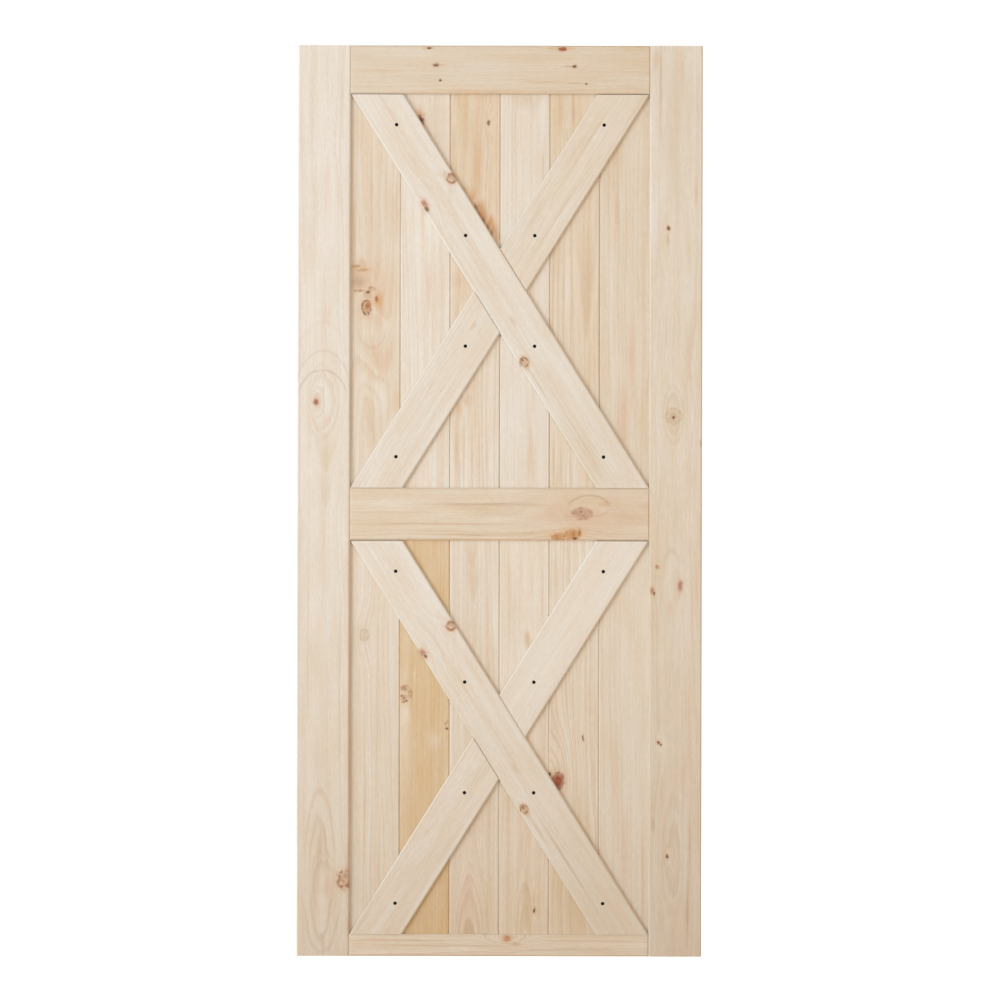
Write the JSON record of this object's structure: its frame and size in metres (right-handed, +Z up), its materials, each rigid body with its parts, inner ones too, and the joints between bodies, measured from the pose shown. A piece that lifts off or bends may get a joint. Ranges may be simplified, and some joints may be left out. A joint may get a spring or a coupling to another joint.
{
  "type": "sliding barn door slab",
  "caption": "Pine sliding door slab: grooved stiles and rails hold tongue-and-groove board panels, each crossed by screwed diagonal braces, with a floor-guide groove along its bottom edge.",
  "frame": {"origin": "middle of the bottom edge, at half the thickness of the door", "axes": "+X across the door to the right as seen from the front, +Y through the door from the braced front to the plain back, +Z up"},
  "size_m": [0.914, 0.035, 2.057],
  "materials": {
    "pine_frame": "bare, planed",
    "pine_boards": "bare, planed",
    "pine_braces": "bare, planed",
    "beech_dowels": "bare, turned",
    "black_screws": "black phosphate"
  },
  "bodies": {
    "root": {"left_stile": "pine_frame", "right_stile": "pine_frame", "top_rail": "pine_frame", "middle_rail": "pine_frame", "bottom_rail": "pine_frame", "top_rail_dowels": "beech_dowels", "middle_rail_dowels": "beech_dowels", "bottom_rail_dowels": "beech_dowels", "upper_board_1": "pine_boards", "upper_board_2": "pine_boards", "upper_board_3": "pine_boards", "upper_board_4": "pine_boards", "upper_board_5": "pine_boards", "upper_board_6": "pine_boards", "lower_board_1": "pine_boards", "lower_board_2": "pine_boards", "lower_board_3": "pine_boards", "lower_board_4": "pine_boards", "lower_board_5": "pine_boards", "lower_board_6": "pine_boards", "upper_long_brace": "pine_braces", "upper_left_half_brace": "pine_braces", "upper_right_half_brace": "pine_braces", "lower_long_brace": "pine_braces", "lower_left_half_brace": "pine_braces", "lower_right_half_brace": "pine_braces", "upper_brace_screws": "black_screws", "lower_brace_screws": "black_screws"}
  },
  "joints": []
}
